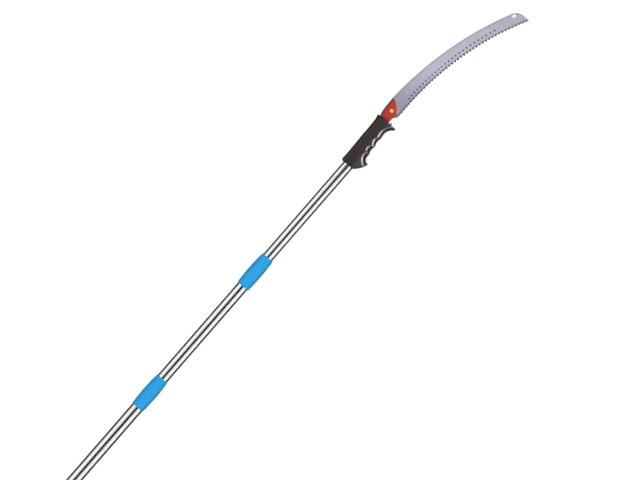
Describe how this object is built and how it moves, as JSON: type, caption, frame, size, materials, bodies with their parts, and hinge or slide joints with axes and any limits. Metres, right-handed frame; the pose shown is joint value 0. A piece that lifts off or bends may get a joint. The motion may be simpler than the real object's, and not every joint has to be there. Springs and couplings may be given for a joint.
{
  "type": "telescoping pole saw",
  "caption": "Slim telescoping pole in tube sections with twist locks, ending in a pistol-grooved handle, a folded ferrule and a long curved pull-saw blade with a hang slot.",
  "frame": {"origin": "centre of the butt's end face, on the pole's axis", "axes": "+X up the pole from the butt to the blade, -Y the way the teeth and the finger grooves face, +Z out of the blade's face; the saw lies flat with the blade level"},
  "size_m": [1.6766, 0.118, 0.0332],
  "materials": {
    "cap_plastic": "moulded, fine matt texture",
    "tube_steel": "drawn and polished along its length",
    "lock_plastic": "moulded grey",
    "slide_plastic": "natural acetal",
    "nut_plastic": "satin moulded sky blue",
    "handle_plastic": "moulded brown-black, satin",
    "fastener_steel": "plain",
    "ferrule_paint": "red enamel on folded sheet",
    "blade_steel": "ground and satin plated",
    "rivet_brass": "pale, domed"
  },
  "bodies": {
    "lower": {"butt_cap": "cap_plastic", "lower_tube": "tube_steel", "lower_lock_base": "lock_plastic"},
    "lower_clamp": {"lower_clamp_ring": "slide_plastic"},
    "lower_nut": {"lower_lock_nut": "nut_plastic"},
    "middle_plug": {"middle_guide_plug": "slide_plastic"},
    "middle": {"middle_tube": "tube_steel", "upper_lock_base": "lock_plastic"},
    "upper_clamp": {"upper_clamp_ring": "slide_plastic"},
    "upper_nut": {"upper_lock_nut": "nut_plastic"},
    "upper_plug": {"upper_guide_plug": "slide_plastic"},
    "saw": {"upper_tube": "tube_steel", "handle_shell_face": "handle_plastic", "handle_shell_back": "handle_plastic", "handle_screws": "fastener_steel", "tube_pin": "fastener_steel", "ferrule": "ferrule_paint", "tang_pin": "fastener_steel", "blade": "blade_steel", "blade_rivet": "rivet_brass", "heel_rivet": "rivet_brass"}
  },
  "joints": [
    {"name": "lower_nut_travel", "type": "slide", "parent": "lower", "child": "lower_clamp", "axis": [1, 0, 0], "range_m": [0, 0.0015]},
    {"name": "lower_nut_twist", "type": "hinge", "parent": "lower_clamp", "child": "lower_nut", "pos_m": [0.488, 0, 0], "axis": [1, 0, 0], "range_deg": [0, 180]},
    {"name": "middle_slide", "type": "slide", "parent": "lower", "child": "middle_plug", "axis": [1, 0, 0], "range_m": [-0.27, 0.0745]},
    {"name": "middle_turn", "type": "hinge", "parent": "middle_plug", "child": "middle", "pos_m": [0.413, 0, 0], "axis": [1, 0, 0], "continuous": true},
    {"name": "upper_nut_travel", "type": "slide", "parent": "middle", "child": "upper_clamp", "axis": [1, 0, 0], "range_m": [0, 0.0015]},
    {"name": "upper_nut_twist", "type": "hinge", "parent": "upper_clamp", "child": "upper_nut", "pos_m": [0.849, 0, 0], "axis": [1, 0, 0], "range_deg": [0, 180]},
    {"name": "upper_slide", "type": "slide", "parent": "middle", "child": "upper_plug", "axis": [1, 0, 0], "range_m": [-0.27, 0.0745]},
    {"name": "upper_turn", "type": "hinge", "parent": "upper_plug", "child": "saw", "pos_m": [0.774, 0, 0], "axis": [1, 0, 0], "continuous": true}
  ],
  "couplings": [
    {"joint": "lower_nut_twist", "follows": "lower_nut_travel", "rad_per_m": 2094},
    {"joint": "upper_nut_twist", "follows": "upper_nut_travel", "rad_per_m": 2094}
  ]
}
